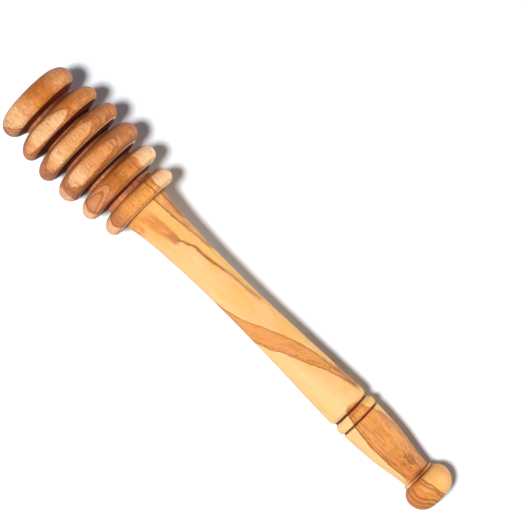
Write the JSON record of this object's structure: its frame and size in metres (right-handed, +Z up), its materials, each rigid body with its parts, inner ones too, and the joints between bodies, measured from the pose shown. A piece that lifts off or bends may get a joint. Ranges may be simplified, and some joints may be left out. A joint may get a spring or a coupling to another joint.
{
  "type": "honey dipper",
  "caption": "Turned wooden honey dipper: a ringed head that picks up honey, glued by a round tenon to a waisted handle with burnt grooves and an end knob.",
  "frame": {"origin": "on the table under the middle of the dipper's length, where the dipper lies on its widest ring and its knob", "axes": "+X along the dipper in plan, from the ringed head to the end knob, which lies lower because the dipper's own axis falls 3.15 degrees towards it; +Y across; +Z up"},
  "size_m": [0.1604, 0.0284, 0.0288],
  "materials": {
    "head_wood": "satin oiled olive wood, orange brown, with burnt grooves",
    "handle_wood": "satin oiled olive wood, pale yellow with brown figure"
  },
  "bodies": {
    "root": {"dipper_head": "head_wood", "handle": "handle_wood"}
  },
  "joints": []
}
